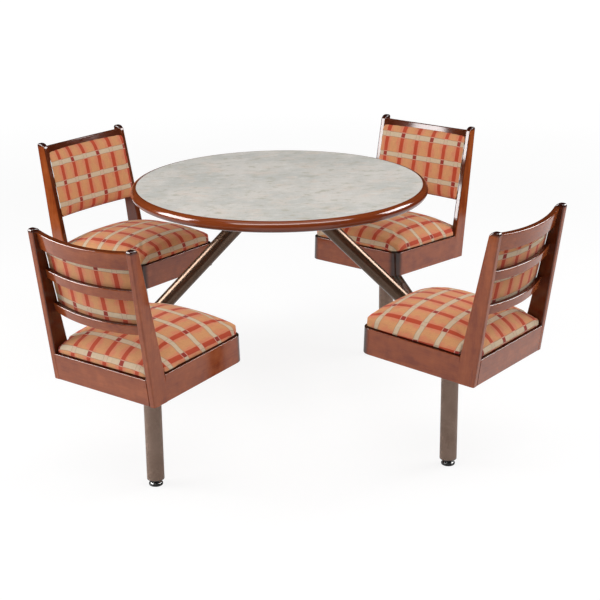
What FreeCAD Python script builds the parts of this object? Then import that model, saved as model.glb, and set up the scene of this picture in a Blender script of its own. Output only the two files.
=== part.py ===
"""Round dining table on a four-post tube frame. Each post carries an upholstered swivel seat.

Frame of the model: the origin is on the floor, on the axis of the round top. +Z is up.
The two side rails run along Y, one at each side, and the slanted arms lie in the XZ plane.
"""
import FreeCAD, Part
import math
import os

V = FreeCAD.Vector
UP = V(0, 0, 1)
SIDEWAYS = V(1, 0, 0)

# --- Table top -------------------------------------------------------------
TABLE_HEIGHT = 762.0
TOP_RADIUS = 457.0
TOP_THICKNESS = 33.0
LAMINATE_THICKNESS = 1.5
EDGE_DEPTH = TOP_THICKNESS / 2
LAMINATE_MARGIN = 0.6

# --- Frame -----------------------------------------------------------------
POST_X = 433.5
POST_Y = 478.0
POST_DIAMETER = 50.8
RAIL_DIAMETER = 50.0
ARM_DIAMETER = 48.0
TUBE_WALL = 2.0
RAIL_AXIS_HEIGHT = 323.0
ARM_APEX_HEIGHT = 769.0
POST_TOP = 409.4
POST_FOOT = 21.5

TOP_PLATE_LENGTH = 280.0
TOP_PLATE_WIDTH = 170.0
TOP_PLATE_THICKNESS = 6.0
PLATE_CORNER = 18.0
SCREW_SPACING_X = 240.0
SCREW_SPACING_Y = 130.0
SCREW_RADIUS = 2.5
SCREW_HEAD_RADIUS = 5.5
SCREW_HEAD_HEIGHT = 3.5
SCREW_HEAD_ROUND = 1.5
SCREW_LENGTH = 24.0

# --- Levelling glides --------------------------------------------------------
INSERT_FLANGE = 2.0
INSERT_DEPTH = 26.0
INSERT_ROUND = 1.0
STEM_RADIUS = 5.0
STEM_LENGTH = 36.0
STEM_CLEARANCE = 0.05
GLIDE_RADIUS = 20.5
GLIDE_RIM = 7.0
GLIDE_HEIGHT = 12.0
GLIDE_DOME_RADIUS = 17.5
GLIDE_NECK_RADIUS = 8.0
GLIDE_ROUND = 2.5

# --- Swivel ------------------------------------------------------------------
SPINDLE_RADIUS = 12.5
SPINDLE_CLEARANCE = 0.05
SPINDLE_BOTTOM = 345.0
THRUST_GAP = 0.1
BUSH_FLANGE = 4.0
BUSH_LENGTH = 64.0
BUSH_FLANGE_RADIUS = 25.0
COLLAR_RADIUS = 24.0
SWIVEL_PLATE_SIZE = 150.0
SWIVEL_PLATE_THICKNESS = 6.0

# --- Seats: a seat's own frame has x to the sitter's right, y forward and z up
#     from the underside of the seat box on the swivel axis -------------------
SEAT_HEIGHT = 358.0
SEAT_TILT = 2.6
HEADINGS = {
    "front_left": -45.3,
    "front_right": 44.6,
    "rear_right": 132.9,
    "rear_left": -136.0,
}
POSTS = {
    "front_left": (-POST_X, -POST_Y),
    "front_right": (POST_X, -POST_Y),
    "rear_right": (POST_X, POST_Y),
    "rear_left": (-POST_X, POST_Y),
}

BOX_HEIGHT = 80.0
BOX_REAR = -192.0
BOX_FRONT = 197.0
BOX_HALF_REAR = 190.0
BOX_HALF_FRONT = 181.0
BOX_CORNER = 32.0
APRON = 20.0
BOARD_THICKNESS = 12.0
EDGE_ROUND = 2.0

# The stiles taper: their front edges lean back more than their rear edges.
STILE_WIDTH = 19.5
STILE_FRONT = -142.0
STILE_TOP = 452.5
STILE_ROUND = 4.5
STILE_TOP_ROUND_FRONT = 20.0
STILE_TOP_ROUND_REAR = 7.0
REAR_LEAN = 5.6
BACK_LEAN = 9.77

# Slats, crest and pad lie along the stiles' front edges. Their heights are measured
# up those edges from the top of the box, and depths go back from them.
BACK_BOW = 27.0
SLAT_DEPTH = 17.0
CREST_THICKNESS = 16.0
CREST_BOTTOM = 318.0
CREST_END_TOP = 369.0
CREST_MID_TOP = 367.5
SLAT_THICKNESS = 14.0
SLATS = [(228.0, 258.0), (124.0, 153.0)]
SLAT_ROUND = 3.0

PAD_BOTTOM = 125.0
PAD_TOP = 350.0
PAD_FRONT = -9.0
PAD_FRONT_BOW = 17.0
PAD_SIDE_GAP = 0.8
PAD_ROUND = 4.5

CUSHION_INSET = 2.5
CUSHION_CROWN = 151.5
CUSHION_CROWN_Y = 22.0
CUSHION_DOME_RADIUS = 700.0
CUSHION_DOME_TOP = 153.0
CUSHION_DOME_Y = 12.0
# Half section of the cushion: where crown and shoulder meet, the middle of the
# shoulder, and its foot, each as a distance from the side and a height.
CUSHION_SHOULDER = [(60.5, 140.0), (24.0, 124.0), (2.5, 93.0)]
CUSHION_FRONT_SHOULDER = [(61.5, 145.6), (22.5, 130.0), (2.5, 93.0)]
CUSHION_REAR_SHOULDER = [(61.0, 135.0), (24.0, 120.0), (2.5, 93.0)]
CUSHION_NOTCH_GAP = 2.5

# Slack within which an edge counts as lying on a plane.
TOUCH = 0.1

STILE_INNER = BOX_HALF_REAR - STILE_WIDTH
STILE_TOP_FRONT = STILE_FRONT - (STILE_TOP - BOX_HEIGHT) * math.tan(math.radians(BACK_LEAN))
TOP_UNDERSIDE = TABLE_HEIGHT - TOP_THICKNESS


def cylinder(radius, bottom, top, x=0.0, y=0.0):
    """Upright cylinder between two heights."""
    return Part.makeCylinder(radius, top - bottom, V(x, y, bottom), UP)


def rod(start, end, radius):
    """Solid round bar between two points."""
    return Part.makeCylinder(radius, (end - start).Length, start, end - start)


def tube(start, end, radius):
    """Round tube of the frame's wall thickness between two points."""
    return rod(start, end, radius).cut(rod(start, end, radius - TUBE_WALL))


def prism(points, direction):
    """Solid swept from a closed polygon along a vector."""
    wire = Part.makePolygon(points + [points[0]])
    return Part.Face(wire).extrude(direction)


def arc(first, middle, last):
    return Part.Arc(first, middle, last).toShape()


def line(first, last):
    return Part.LineSegment(first, last).toShape()


def rounded(solid, radius, wanted):
    """The solid with a fillet on each edge that the test picks."""
    return solid.makeFillet(radius, [edge for edge in solid.Edges if wanted(edge)])


def runs_along(edge, direction):
    """True for a straight edge parallel to a direction."""
    return edge.Curve.TypeId == "Part::GeomLine" and edge.Curve.Direction.cross(direction).Length < TOUCH


def lies_flat(edge):
    """True for an edge in a level plane."""
    return edge.BoundBox.ZLength < TOUCH


def upright_edge(edge):
    return runs_along(edge, UP)


def plate(length, width, low, thickness):
    """Level rectangular plate about the Z axis, with rounded corners."""
    outline = [
        V(-length / 2, -width / 2, low),
        V(length / 2, -width / 2, low),
        V(length / 2, width / 2, low),
        V(-length / 2, width / 2, low),
    ]
    return rounded(prism(outline, UP * thickness), PLATE_CORNER, upright_edge)


# --- Table top ---------------------------------------------------------------
def screw_places():
    """The four corners of the top plate's screw pattern."""
    return [
        (x * SCREW_SPACING_X / 2, y * SCREW_SPACING_Y / 2)
        for x in (-1, 1)
        for y in (-1, 1)
    ]


def laminate_sheet():
    radius = TOP_RADIUS - EDGE_DEPTH - LAMINATE_MARGIN
    return cylinder(radius, TABLE_HEIGHT - LAMINATE_THICKNESS, TABLE_HEIGHT)


def core_board():
    """Round board with a pilot hole for each screw."""
    board = cylinder(TOP_RADIUS - EDGE_DEPTH, TOP_UNDERSIDE, TABLE_HEIGHT - LAMINATE_THICKNESS)
    depth = SCREW_LENGTH - TOP_PLATE_THICKNESS
    for x, y in screw_places():
        board = board.cut(cylinder(SCREW_RADIUS, TOP_UNDERSIDE, TOP_UNDERSIDE + depth, x, y))
    return board


def edge_band():
    """Bullnose wood edge: a half-round section turned about the top's axis."""
    inner = TOP_RADIUS - EDGE_DEPTH
    low = V(inner, 0, TOP_UNDERSIDE)
    high = V(inner, 0, TABLE_HEIGHT)
    nose = V(TOP_RADIUS, 0, TABLE_HEIGHT - EDGE_DEPTH)
    section = Part.Face(Part.Wire([arc(low, nose, high), line(high, low)]))
    return section.revolve(V(0, 0, 0), UP, 360)


def top_plate():
    """Steel plate under the top that both arms are welded to."""
    low = TOP_UNDERSIDE - TOP_PLATE_THICKNESS
    drilled = plate(TOP_PLATE_LENGTH, TOP_PLATE_WIDTH, low, TOP_PLATE_THICKNESS)
    for x, y in screw_places():
        drilled = drilled.cut(cylinder(SCREW_RADIUS, low, TOP_UNDERSIDE, x, y))
    return drilled


def top_screws():
    """Pan-head screws, driven up through the plate into the core."""
    low = TOP_UNDERSIDE - TOP_PLATE_THICKNESS
    screws = []
    for x, y in screw_places():
        head = cylinder(SCREW_HEAD_RADIUS, low - SCREW_HEAD_HEIGHT, low, x, y)
        head = rounded(head, SCREW_HEAD_ROUND, lambda edge: edge.BoundBox.ZMax < low - TOUCH)
        shank = cylinder(SCREW_RADIUS, low, low + SCREW_LENGTH, x, y)
        screws.append(head.fuse(shank).removeSplitter())
    return Part.makeCompound(screws)


# --- Frame -------------------------------------------------------------------
def side_rail(side):
    """Tube from post to post, its ends shaped to the posts."""
    x = side * POST_X
    start = V(x, -POST_Y, RAIL_AXIS_HEIGHT)
    end = V(x, POST_Y, RAIL_AXIS_HEIGHT)
    rail = tube(start, end, RAIL_DIAMETER / 2)
    for y in (-POST_Y, POST_Y):
        rail = rail.cut(cylinder(POST_DIAMETER / 2, POST_FOOT, POST_TOP, x, y))
    return max(rail.Solids, key=lambda solid: solid.Volume)


def arm(side):
    """Slanted tube from the middle of a rail up to the plate under the top."""
    foot = V(side * POST_X, 0, RAIL_AXIS_HEIGHT)
    apex = V(0, 0, ARM_APEX_HEIGHT)
    slanted = tube(foot, apex, ARM_DIAMETER / 2)
    rail_start = V(side * POST_X, -POST_Y, RAIL_AXIS_HEIGHT)
    rail_end = V(side * POST_X, POST_Y, RAIL_AXIS_HEIGHT)
    slanted = slanted.cut(rod(rail_start, rail_end, RAIL_DIAMETER / 2))
    above_plate = TOP_UNDERSIDE - TOP_PLATE_THICKNESS
    slanted = slanted.cut(cylinder(TOP_RADIUS, above_plate, TABLE_HEIGHT + POST_DIAMETER))
    return max(slanted.Solids, key=lambda solid: solid.Volume)


def post(x, y):
    return tube(V(x, y, POST_FOOT), V(x, y, POST_TOP), POST_DIAMETER / 2)


def swivel_bushes():
    """Flanged plastic bearings pressed into the tops of the posts."""
    sleeve_radius = POST_DIAMETER / 2 - TUBE_WALL
    bushes = []
    for x, y in POSTS.values():
        sleeve = cylinder(sleeve_radius, POST_TOP - BUSH_LENGTH, POST_TOP, x, y)
        flange = cylinder(BUSH_FLANGE_RADIUS, POST_TOP, POST_TOP + BUSH_FLANGE, x, y)
        bore_radius = SPINDLE_RADIUS + SPINDLE_CLEARANCE
        bore = cylinder(bore_radius, POST_TOP - BUSH_LENGTH, POST_TOP + BUSH_FLANGE, x, y)
        bushes.append(sleeve.fuse(flange).cut(bore).removeSplitter())
    return Part.makeCompound(bushes)


def foot_inserts():
    """Plugs in the feet of the posts that take the stems of the glides."""
    plug_radius = POST_DIAMETER / 2 - TUBE_WALL
    low = POST_FOOT - INSERT_FLANGE
    inserts = []
    for x, y in POSTS.values():
        plug = cylinder(plug_radius, POST_FOOT, low + INSERT_DEPTH, x, y)
        flange = cylinder(POST_DIAMETER / 2, low, POST_FOOT, x, y)
        flange = rounded(flange, INSERT_ROUND, lambda edge: edge.BoundBox.ZMax < low + TOUCH)
        hole = cylinder(STEM_RADIUS + STEM_CLEARANCE, low, low + INSERT_DEPTH, x, y)
        inserts.append(plug.fuse(flange).cut(hole).removeSplitter())
    return Part.makeCompound(inserts)


def glide(x, y):
    """Round foot under a shallow dome, on a stem that goes up into the post."""
    foot = cylinder(GLIDE_RADIUS, 0, GLIDE_RIM, x, y)
    foot = rounded(foot, GLIDE_ROUND, lambda edge: edge.Curve.TypeId == "Part::GeomCircle")
    dome_height = GLIDE_HEIGHT - GLIDE_RIM
    dome = Part.makeCone(GLIDE_DOME_RADIUS, GLIDE_NECK_RADIUS, dome_height, V(x, y, GLIDE_RIM), UP)
    stem = cylinder(STEM_RADIUS, GLIDE_HEIGHT, GLIDE_HEIGHT + STEM_LENGTH, x, y)
    return foot.fuse(dome).fuse(stem).removeSplitter()


# --- Seat: wooden box ----------------------------------------------------------
def box_half_width(y, inset):
    """Half width of the tapered box at a depth, less an inset."""
    share = (y - STILE_FRONT) / (BOX_FRONT - STILE_FRONT)
    return BOX_HALF_REAR + share * (BOX_HALF_FRONT - BOX_HALF_REAR) - inset


def box_block(inset, rear, low, high, corner):
    """Block with the box's tapered outline and rounded front corners."""
    front = BOX_FRONT - inset
    outline = [
        V(-box_half_width(rear, inset), rear, low),
        V(-box_half_width(front, inset), front, low),
        V(box_half_width(front, inset), front, low),
        V(box_half_width(rear, inset), rear, low),
    ]
    block = prism(outline, UP * (high - low))
    return rounded(block, corner, lambda edge: upright_edge(edge) and edge.BoundBox.YMin > front - TOUCH)


def bent_apron():
    """Bent apron: the two sides and the front of the box in one piece."""

    def rim(edge):
        return lies_flat(edge) and edge.CenterOfMass.y > STILE_FRONT + TOUCH

    outer = rounded(box_block(0, STILE_FRONT, 0, BOX_HEIGHT, BOX_CORNER), EDGE_ROUND, rim)
    inner_rear = STILE_FRONT - APRON
    inner = box_block(APRON, inner_rear, -APRON, BOX_HEIGHT + APRON, BOX_CORNER - APRON)
    return outer.cut(inner)


def rear_slope(height):
    """Depth of the stiles' rear edge at a height."""
    return BOX_REAR - height * math.tan(math.radians(REAR_LEAN))


def rear_apron():
    """Rear of the box, between the stiles and flush with their rear edges."""
    section = [
        V(-STILE_INNER, rear_slope(0), 0),
        V(-STILE_INNER, rear_slope(0) + APRON, 0),
        V(-STILE_INNER, rear_slope(BOX_HEIGHT) + APRON, BOX_HEIGHT),
        V(-STILE_INNER, rear_slope(BOX_HEIGHT), BOX_HEIGHT),
    ]
    rail = prism(section, V(2 * STILE_INNER, 0, 0))

    def rear_edge(edge):
        return runs_along(edge, SIDEWAYS) and edge.CenterOfMass.y < rear_slope(0) + TOUCH

    return rounded(rail, EDGE_ROUND, rear_edge)


def stile(side):
    """Upright of the back. It tapers upwards and is rounded over at the top."""
    inner = side * STILE_INNER
    profile = [
        V(inner, rear_slope(0), 0),
        V(inner, STILE_FRONT, 0),
        V(inner, STILE_FRONT, BOX_HEIGHT),
        V(inner, STILE_TOP_FRONT, STILE_TOP),
        V(inner, rear_slope(STILE_TOP), STILE_TOP),
    ]
    upright = prism(profile, V(side * STILE_WIDTH, 0, 0))

    def round_top(solid, y, radius):
        corner = V(inner + side * STILE_WIDTH / 2, y, STILE_TOP)
        return rounded(solid, radius, lambda edge: (edge.CenterOfMass - corner).Length < TOUCH)

    def long_edge(edge):
        return edge.BoundBox.XLength < TOUCH and edge.CenterOfMass.z > BOX_HEIGHT + TOUCH

    upright = round_top(upright, STILE_TOP_FRONT, STILE_TOP_ROUND_FRONT)
    upright = round_top(upright, rear_slope(STILE_TOP), STILE_TOP_ROUND_REAR)
    return rounded(upright, STILE_ROUND, long_edge)


def seat_board():
    """Plywood board inside the aprons that carries the cushion."""
    low = BOX_HEIGHT - BOARD_THICKNESS
    wide = box_block(APRON, STILE_FRONT, low, BOX_HEIGHT, BOX_CORNER - APRON)
    half = STILE_INNER
    rear = rear_slope(low) + APRON
    tongue = prism(
        [
            V(-half, rear, low),
            V(half, rear, low),
            V(half, STILE_FRONT, low),
            V(-half, STILE_FRONT, low),
        ],
        UP * BOARD_THICKNESS,
    )
    return wide.fuse(tongue).removeSplitter()


# --- Seat: back ------------------------------------------------------------------
def back_point(x, behind, height):
    """Point of the leaning back: behind the stiles' front edges, and up along them."""
    lean = math.radians(BACK_LEAN)
    y = STILE_FRONT - height * math.sin(lean) - behind * math.cos(lean)
    z = BOX_HEIGHT + height * math.cos(lean) - behind * math.sin(lean)
    return V(x, y, z)


def bowed_slat(low, high, thickness):
    """Slat between the stiles, bent backwards to a circular arc."""
    end = SLAT_DEPTH
    middle = SLAT_DEPTH + BACK_BOW
    half = STILE_INNER
    rear = arc(back_point(-half, end, low), back_point(0, middle, low), back_point(half, end, low))
    front = arc(
        back_point(-half, end - thickness, low),
        back_point(0, middle - thickness, low),
        back_point(half, end - thickness, low),
    )
    left = line(back_point(-half, end - thickness, low), back_point(-half, end, low))
    right = line(back_point(half, end, low), back_point(half, end - thickness, low))
    face = Part.Face(Part.Wire([rear, right, front, left]))
    return face.extrude(back_point(0, 0, high) - back_point(0, 0, low))


def round_slat(slat):
    """The slat with its long edges eased."""
    return rounded(slat, SLAT_ROUND, lambda edge: edge.Length > STILE_INNER)


def crest_rail():
    """Top rail of the back. Its upper edge dips towards the middle."""
    slat = bowed_slat(CREST_BOTTOM, CREST_END_TOP, CREST_THICKNESS)
    reach = SLAT_DEPTH + BACK_BOW + CREST_THICKNESS
    left = back_point(-STILE_INNER, reach, CREST_END_TOP)
    middle = back_point(0, reach, CREST_MID_TOP)
    right = back_point(STILE_INNER, reach, CREST_END_TOP)
    dip = Part.Face(Part.Wire([arc(left, middle, right), line(right, left)]))
    dip = dip.extrude(back_point(0, -reach, 0) - back_point(0, reach, 0))
    return round_slat(slat.cut(dip))


def back_slats():
    slats = [round_slat(bowed_slat(low, high, SLAT_THICKNESS)) for low, high in SLATS]
    return Part.makeCompound(slats)


def back_pad():
    """Upholstered pad on the front of crest and slats. Its front face is hollowed sideways."""
    half = STILE_INNER - PAD_SIDE_GAP
    rear_end = SLAT_DEPTH - CREST_THICKNESS
    rear_left = back_point(-half, rear_end, PAD_BOTTOM)
    rear_middle = back_point(0, rear_end + BACK_BOW, PAD_BOTTOM)
    rear_right = back_point(half, rear_end, PAD_BOTTOM)
    front_left = back_point(-half, PAD_FRONT, PAD_BOTTOM)
    front_middle = back_point(0, PAD_FRONT + PAD_FRONT_BOW, PAD_BOTTOM)
    front_right = back_point(half, PAD_FRONT, PAD_BOTTOM)
    outline = [
        arc(rear_left, rear_middle, rear_right),
        line(rear_right, front_right),
        arc(front_right, front_middle, front_left),
        line(front_left, rear_left),
    ]
    up_the_back = back_point(0, 0, PAD_TOP) - back_point(0, 0, PAD_BOTTOM)
    block = Part.Face(Part.Wire(outline)).extrude(up_the_back)
    return block.makeFillet(PAD_ROUND, block.Edges)


def pillow_section(place, crown, shoulders):
    """Face of a cushion's section: a crown arc between two shoulder arcs, over a flat foot.

    `place` turns a position across the cushion and a height into a point, `crown` is
    where the crown lies across it, and each shoulder is (side, [three arc points])."""
    (low_side, low_arc), (high_side, high_arc) = shoulders
    low_points = [place(low_side + out, height) for out, height in low_arc]
    high_points = [place(high_side - out, height) for out, height in high_arc]
    low_foot = place(low_side + CUSHION_INSET, BOX_HEIGHT)
    high_foot = place(high_side - CUSHION_INSET, BOX_HEIGHT)
    edges = [
        line(low_foot, low_points[2]),
        arc(low_points[2], low_points[1], low_points[0]),
        arc(low_points[0], place(crown, CUSHION_CROWN), high_points[0]),
        arc(high_points[0], high_points[1], high_points[2]),
        line(high_points[2], high_foot),
        line(high_foot, low_foot),
    ]
    return Part.Face(Part.Wire(edges))


def seat_cushion():
    """Domed cushion over the whole box, notched at the back for the stiles."""
    rear = rear_slope(BOX_HEIGHT)
    outline = box_block(CUSHION_INSET, rear + CUSHION_INSET, BOX_HEIGHT, CUSHION_CROWN, BOX_CORNER)
    sides = [(-BOX_HALF_REAR, CUSHION_SHOULDER), (BOX_HALF_REAR, CUSHION_SHOULDER)]
    ends = [(rear, CUSHION_REAR_SHOULDER), (BOX_FRONT, CUSHION_FRONT_SHOULDER)]
    across = pillow_section(lambda x, z: V(x, rear, z), 0, sides)
    along = pillow_section(lambda y, z: V(-BOX_HALF_REAR, y, z), CUSHION_CROWN_Y, ends)
    cushion = outline.common(across.extrude(V(0, BOX_FRONT - rear, 0)))
    cushion = cushion.common(along.extrude(V(2 * BOX_HALF_REAR, 0, 0)))
    dome_centre = V(0, CUSHION_DOME_Y, CUSHION_DOME_TOP - CUSHION_DOME_RADIUS)
    cushion = cushion.common(Part.makeSphere(CUSHION_DOME_RADIUS, dome_centre, V(1, 1, 0)))
    for side in (-1, 1):
        inner = side * (STILE_INNER - CUSHION_NOTCH_GAP)
        outer = side * 2 * BOX_HALF_REAR
        front = STILE_FRONT + CUSHION_NOTCH_GAP
        notch = [V(inner, 2 * rear, 0), V(outer, 2 * rear, 0), V(outer, front, 0), V(inner, front, 0)]
        cushion = cushion.cut(prism(notch, UP * STILE_TOP))
    return cushion


# --- Seat: swivel ------------------------------------------------------------------
def in_seat(shape, name):
    """The shape moved from a seat's own frame to its place on a post."""
    x, y = POSTS[name]
    placed = shape.copy()
    placed.rotate(V(0, 0, 0), SIDEWAYS, SEAT_TILT)
    placed.rotate(V(0, 0, 0), UP, HEADINGS[name])
    placed.translate(V(x, y, SEAT_HEIGHT))
    return placed


def swivel_plate(name):
    """Upright spindle and collar under a square plate that lies to the seat's tilt."""
    x, y = POSTS[name]
    high = BOX_HEIGHT - BOARD_THICKNESS
    low = high - SWIVEL_PLATE_THICKNESS
    square = plate(SWIVEL_PLATE_SIZE, SWIVEL_PLATE_SIZE, low, SWIVEL_PLATE_THICKNESS)
    thrust = POST_TOP + BUSH_FLANGE + THRUST_GAP
    inside_plate = SEAT_HEIGHT + (low + high) / 2
    spindle = cylinder(SPINDLE_RADIUS, SPINDLE_BOTTOM, thrust, x, y)
    collar = cylinder(COLLAR_RADIUS, thrust, inside_plate, x, y)
    return spindle.fuse(collar).fuse(in_seat(square, name)).removeSplitter()


def seat_pieces():
    """The pieces of one seat in the seat's own frame, by name."""
    return {
        "bent_apron": bent_apron(),
        "rear_apron": rear_apron(),
        "stile_left": stile(-1),
        "stile_right": stile(1),
        "crest_rail": crest_rail(),
        "back_slats": back_slats(),
        "back_pad": back_pad(),
        "seat_cushion": seat_cushion(),
        "seat_board": seat_board(),
    }


def all_pieces():
    """Every node of the object by name."""
    pieces = {
        "laminate_sheet": laminate_sheet(),
        "core_board": core_board(),
        "edge_band": edge_band(),
        "top_plate": top_plate(),
        "top_screws": top_screws(),
        "left_arm": arm(-1),
        "right_arm": arm(1),
        "left_rail": side_rail(-1),
        "right_rail": side_rail(1),
        "swivel_bushes": swivel_bushes(),
        "foot_inserts": foot_inserts(),
    }
    seat = seat_pieces()
    for name, (x, y) in POSTS.items():
        pieces[name + "_post"] = post(x, y)
        pieces[name + "_glide"] = glide(x, y)
        pieces[name + "_swivel_plate"] = swivel_plate(name)
        for piece, shape in seat.items():
            pieces[name + "_" + piece] = in_seat(shape, name)
    return pieces


os.makedirs("parts", exist_ok=True)
for node, shape in all_pieces().items():
    shape.exportStep("parts/" + node + ".step")
    print(node, "valid" if shape.isValid() else "NOT VALID", len(shape.Solids), round(shape.Volume))
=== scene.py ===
"""Looks of a round table with four upholstered swivel seats. Lengths are in metres."""
import math
import bmesh
import bpy
import numpy as np
from mathutils import Matrix, Vector


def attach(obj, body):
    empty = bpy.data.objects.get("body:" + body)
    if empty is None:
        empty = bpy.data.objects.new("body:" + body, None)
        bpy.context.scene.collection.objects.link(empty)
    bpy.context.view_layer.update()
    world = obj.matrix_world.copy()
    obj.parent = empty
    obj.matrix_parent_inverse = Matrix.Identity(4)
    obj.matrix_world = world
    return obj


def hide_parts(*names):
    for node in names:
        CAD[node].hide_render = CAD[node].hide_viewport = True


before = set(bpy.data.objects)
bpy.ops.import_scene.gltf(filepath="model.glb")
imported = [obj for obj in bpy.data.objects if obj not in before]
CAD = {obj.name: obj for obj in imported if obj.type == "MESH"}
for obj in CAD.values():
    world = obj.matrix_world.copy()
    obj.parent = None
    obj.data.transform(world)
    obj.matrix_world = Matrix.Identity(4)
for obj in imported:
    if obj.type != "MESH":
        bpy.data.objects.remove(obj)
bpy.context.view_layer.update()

SCENE = bpy.context.scene

# --- Seats on their posts ----------------------------------------------------------
POST_X = 0.4335
POST_Y = 0.478
SEAT_HEIGHT = 0.358
SEAT_TILT = math.radians(2.6)
HEADINGS = {"front_left": -45.3, "front_right": 44.6, "rear_right": 132.9, "rear_left": -136.0}
POSTS = {
    "front_left": (-POST_X, -POST_Y),
    "front_right": (POST_X, -POST_Y),
    "rear_right": (POST_X, POST_Y),
    "rear_left": (-POST_X, POST_Y),
}

# --- A seat in its own frame: x to the sitter's right, y forward, z up from the box's underside
BOX_HEIGHT = 0.080
BOX_REAR = -0.192
BOX_FRONT = 0.197
BOX_HALF_REAR = 0.190
BOX_HALF_FRONT = 0.181
BOX_CORNER = 0.032
STILE_FRONT = -0.142
STILE_INNER = 0.1705
BACK_LEAN = math.radians(9.77)
BACK_BOW = 0.027
CREST_FRONT = 0.001
PAD_BOTTOM = 0.125
PAD_TOP = 0.350
# How far in from each edge the pad's cover rolls off, and how deep.
PAD_TOP_ROLL = 0.034
PAD_FOOT_ROLL = 0.012
PAD_SIDE_ROLL = 0.007
PAD_ROLL_DEPTH = 0.022
# The pad's sides are drawn out by this share of its width, and bulge over the stiles.
PAD_SIDE_REACH = 0.022
PAD_BULGE = 0.0044
# The cushion's shoulders: they start this far inside the box's outline, and bend about
# an axis that lies a little further in, at a height over the box's underside.
SHOULDER_REACH = 0.060
SHOULDER_RADIUS = 0.0713
SHOULDER_AXIS_IN = 0.0092
SHOULDER_AXIS_HEIGHT = 0.0693
SHOULDER_FOOT = 0.093

# --- Woven plaid: red stripes run front to back, beige bands run sideways ------------
STRIPE_SPACING = 0.0602
STRIPE_WIDTH = 0.0145
BAND_SPACING = 0.0695
BAND_WIDTH = 0.0160
THREAD = 0.0016
# Where one red crossing lies on each cushion and each pad, in the seat's own frame.
CUSHION_CROSSING = {
    "front_left": (0.0144, 0.0085),
    "front_right": (0.0246, 0.0000),
    "rear_right": (0.0447, -0.0005),
    "rear_left": (0.0235, -0.0030),
}
PAD_CROSSING = {
    "front_left": (-0.0188, 0.3183),
    "front_right": (-0.0410, 0.3000),
    "rear_right": (0.0270, 0.3258),
    "rear_left": (0.0117, 0.3155),
}
# How far each cushion's cover was pulled forward down its sides, per metre of height.
SIDE_PULL = {"front_left": 0.60, "front_right": 0.30, "rear_right": -0.50, "rear_left": 0.0}
PULL_HEIGHT = 0.118


def seat_matrix(seat):
    """From a seat's own frame to the frame of the model."""
    x, y = POSTS[seat]
    turn = Matrix.Rotation(math.radians(HEADINGS[seat]), 4, "Z")
    tilt = Matrix.Rotation(SEAT_TILT, 4, "X")
    return Matrix.Translation((x, y, SEAT_HEIGHT)) @ turn @ tilt


# --- Shader helpers --------------------------------------------------------------
WHITE = (1.0, 1.0, 1.0, 1.0)
BLACK = (0.0, 0.0, 0.0, 1.0)
UP = (0.0, 0.0, 1.0)
DOWN = (0.0, 0.0, -1.0)
# Sockets of a colour mix, whose names aren't its own.
MIX_FIRST = 6
MIX_SECOND = 7
MIX_RESULT = 2
# A noise lies mostly between these two.
NOISE_LOW = 0.3
NOISE_MIDDLE = 0.5
NOISE_HIGH = 0.7


def srgb(red, green, blue):
    """Colour given as screen values from 0 to 255, as the shader needs it."""
    def linear(value):
        share = value / 255
        return share / 12.92 if share <= 0.04045 else ((share + 0.055) / 1.055) ** 2.4
    return (linear(red), linear(green), linear(blue), 1.0)


def feed(tree, value, socket):
    """Links another node's output to a socket, or sets the socket's own value."""
    if isinstance(value, bpy.types.NodeSocket):
        tree.links.new(value, socket)
    else:
        socket.default_value = value


def add(tree, kind, values=None, **settings):
    """One node with its settings and inputs."""
    made = tree.nodes.new("ShaderNode" + kind)
    for name, value in settings.items():
        setattr(made, name, value)
    for name, value in (values or {}).items():
        feed(tree, value, made.inputs[name])
    return made


def calc(tree, operation, *values):
    """Result of one arithmetic step."""
    return add(tree, "Math", dict(enumerate(values)), operation=operation).outputs[0]


def plus(tree, first, second):
    """Sum of two values."""
    return calc(tree, "ADD", first, second)


def minus(tree, first, second):
    """First value less the second."""
    return calc(tree, "SUBTRACT", first, second)


def times(tree, first, second):
    """Product of two values."""
    return calc(tree, "MULTIPLY", first, second)


def ramp(tree, value, start, end, low=0.0, high=1.0):
    """Value carried smoothly from one range to another, and held at its ends."""
    values = {"Value": value, "From Min": start, "From Max": end, "To Min": low, "To Max": high}
    return add(tree, "MapRange", values, interpolation_type="SMOOTHSTEP").outputs["Result"]


def blend_colour(tree, share, first, second, how="MIX"):
    """Mix of two colours."""
    mixed = add(tree, "Mix", data_type="RGBA", blend_type=how)
    feed(tree, share, mixed.inputs["Factor"])
    feed(tree, first, mixed.inputs[MIX_FIRST])
    feed(tree, second, mixed.inputs[MIX_SECOND])
    return mixed.outputs[MIX_RESULT]


def noise(tree, place, scale, detail=3.0, roughness=0.5):
    """Noise value at a place, about 0.5 on average."""
    values = {"Vector": place, "Scale": scale, "Detail": detail, "Roughness": roughness}
    return add(tree, "TexNoise", values).outputs["Fac"]


def stretch(tree, place, x, y, z):
    """Place with each axis multiplied by its own number."""
    values = {"Vector": place, "Scale": (x, y, z)}
    return add(tree, "Mapping", values).outputs["Vector"]


def bump(tree, height, distance, strength=1.0):
    """Surface direction for a small relief whose height is in metres."""
    values = {"Height": height, "Distance": distance, "Strength": strength}
    return add(tree, "Bump", values).outputs["Normal"]


def material(name, **constants):
    """New material with its tree and main shader. Constants go on the shader's own sockets."""
    made = bpy.data.materials.new(name)
    made.use_nodes = True
    shader = made.node_tree.nodes["Principled BSDF"]
    for socket, value in constants.items():
        shader.inputs[socket.replace("_", " ")].default_value = value
    return made, made.node_tree, shader


def object_place(tree):
    """Place on the piece, which stays with it when it moves."""
    return add(tree, "TexCoord").outputs["Object"]


def seat_place(tree, seat):
    """Place in a seat's own frame."""
    back = seat_matrix(seat).inverted()
    values = {
        "Vector": object_place(tree),
        "Location": back.to_translation(),
        "Rotation": back.to_euler(),
    }
    return add(tree, "Mapping", values).outputs["Vector"]


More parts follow.
